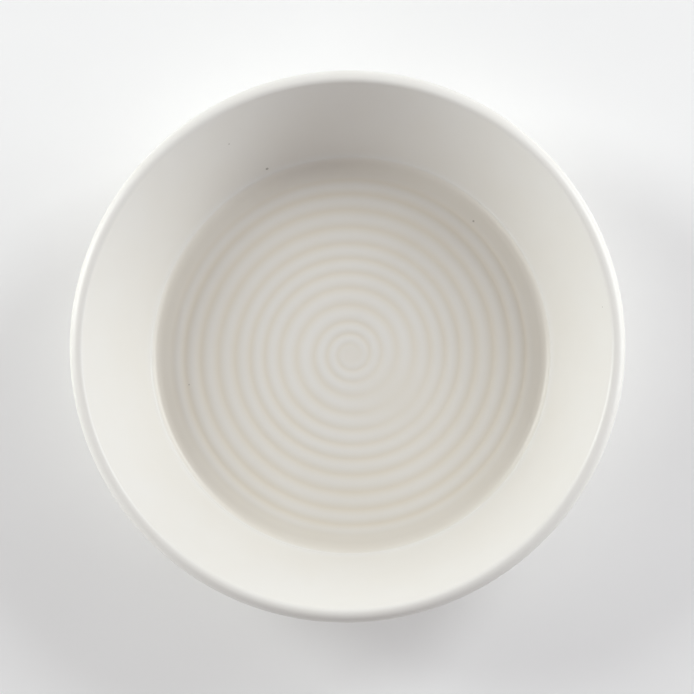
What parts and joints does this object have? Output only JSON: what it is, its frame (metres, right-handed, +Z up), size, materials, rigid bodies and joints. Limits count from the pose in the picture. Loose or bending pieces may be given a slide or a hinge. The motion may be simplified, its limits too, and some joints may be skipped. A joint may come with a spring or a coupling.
{
  "type": "evaporating dish",
  "caption": "Shallow round glazed ceramic dish with a flared wall, a rounded lip, a level floor with a shallow spiral groove, and a bare foot ring.",
  "frame": {"origin": "middle of the standing face, on the surface the dish stands on", "axes": "+Z up along the dish's axis, which is its axis of turning; -Y is the side on which the spiral groove starts"},
  "size_m": [0.118, 0.118, 0.027],
  "materials": {
    "fired_clay": "bare fired stoneware, fine dry grain, smooth on the standing face",
    "white_glaze": "warm off-white satin glaze, a little creamier where it pools in the groove, a few tiny dark specks",
    "recess_glaze": "the same off-white satin glaze in the recess under the dish"
  },
  "bodies": {
    "root": {"dish_body": "fired_clay", "glaze_coat": "white_glaze", "recess_glaze": "recess_glaze"}
  },
  "joints": []
}
